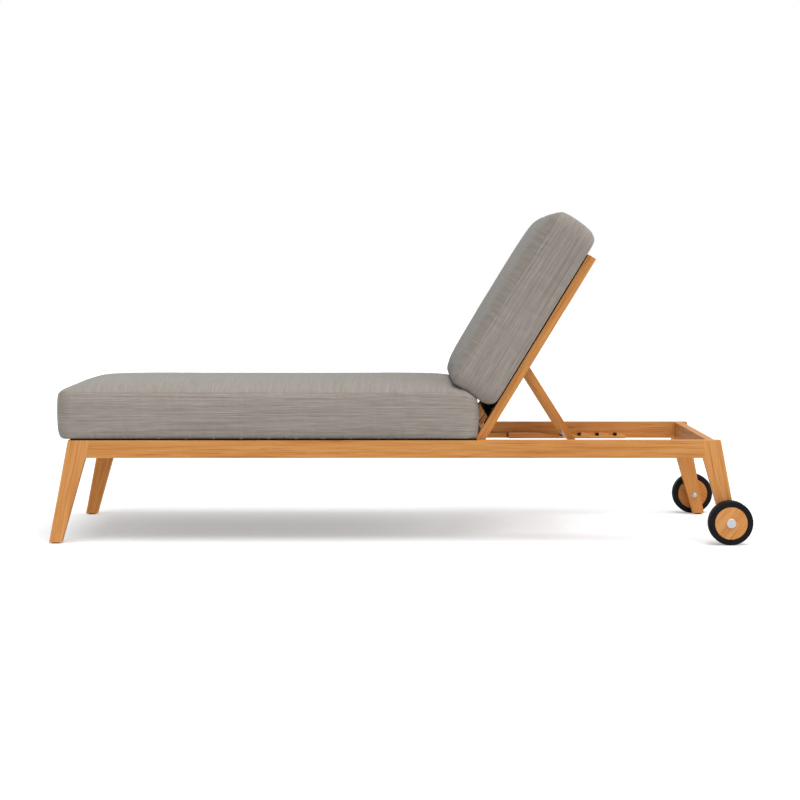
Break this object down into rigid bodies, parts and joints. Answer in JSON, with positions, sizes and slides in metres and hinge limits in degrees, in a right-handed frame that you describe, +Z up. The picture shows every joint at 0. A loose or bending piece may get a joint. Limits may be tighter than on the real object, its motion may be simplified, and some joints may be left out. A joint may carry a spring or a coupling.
{
  "type": "chaise lounger",
  "caption": "Low wooden outdoor chaise lounger with a boxed seat cushion, a reclining cushioned backrest held by a notched prop, and wheels at the head end.",
  "frame": {"origin": "on the floor under the middle of the lounger", "axes": "+X from the foot end to the wheeled head end, +Y across the lounger from the left side to the right side of someone lying on it, +Z up"},
  "size_m": [2.032, 0.7992, 0.9559],
  "materials": {
    "wood": "oiled hardwood with fine straight grain",
    "steel": "stainless, satin",
    "brass": "plain turned",
    "plastic": "moulded, matt",
    "cushion_fabric": "woven outdoor cloth, warm grey with fine streaks",
    "webbing": "woven elastic webbing, black",
    "tyre": "solid rubber, matt"
  },
  "bodies": {
    "frame": {"foot_leg_left": "wood", "foot_leg_right": "wood", "head_leg_left": "wood", "head_leg_right": "wood", "side_rail_left": "wood", "side_rail_right": "wood", "foot_crossbar": "wood", "head_crossbar": "wood", "seat_crossbar": "wood", "middle_crossbar": "wood", "rail_dowels": "wood", "crossbar_dowels": "wood", "ledger_left": "wood", "ledger_right": "wood", "rack_left": "wood", "rack_right": "wood", "rack_dowels": "wood", "ledger_screws": "steel", "seat_straps": "webbing", "seat_strap_screws": "steel", "seat_cushion": "cushion_fabric", "foot_pads": "plastic", "pivot_inserts": "brass", "pivot_washers": "steel", "pivot_bolts": "steel", "axle_bolt_left": "steel", "axle_bolt_right": "steel", "axle_nuts": "steel", "nut_washers": "steel", "wheel_washers": "plastic"},
    "backrest": {"back_rail_left": "wood", "back_rail_right": "wood", "back_top_rail": "wood", "back_bottom_rail": "wood", "back_stile": "wood", "back_dowels": "wood", "back_straps": "webbing", "back_strap_screws": "steel", "back_cushion": "cushion_fabric", "pivot_bushes": "plastic", "prop_bolts": "steel", "prop_spacers": "steel"},
    "prop": {"prop_leg_left": "wood", "prop_leg_right": "wood", "prop_bushes": "plastic", "prop_rod": "steel", "rod_pins": "steel"},
    "wheel_left": {"tyre_left": "tyre", "wheel_disc_left": "wood", "hub_bush_left": "plastic"},
    "wheel_right": {"tyre_right": "tyre", "wheel_disc_right": "wood", "hub_bush_right": "plastic"}
  },
  "joints": [
    {"name": "backrest_recline", "type": "hinge", "parent": "frame", "child": "backrest", "pos_m": [0.2235, 0, 0.2835], "axis": [0, 1, 0], "range_deg": [0, 58.7]},
    {"name": "prop_swing", "type": "hinge", "parent": "backrest", "child": "prop", "pos_m": [0.36351, 0, 0.51378], "axis": [0, 1, 0], "range_deg": [-114, 0]},
    {"name": "wheel_left_spin", "type": "hinge", "parent": "frame", "child": "wheel_left", "pos_m": [0.952, 0, 0.064], "axis": [0, 1, 0], "continuous": true},
    {"name": "wheel_right_spin", "type": "hinge", "parent": "frame", "child": "wheel_right", "pos_m": [0.952, 0, 0.064], "axis": [0, 1, 0], "continuous": true}
  ],
  "couplings": [
    {"joint": "prop_swing", "follows": "backrest_recline", "ratio": -1.9397}
  ]
}
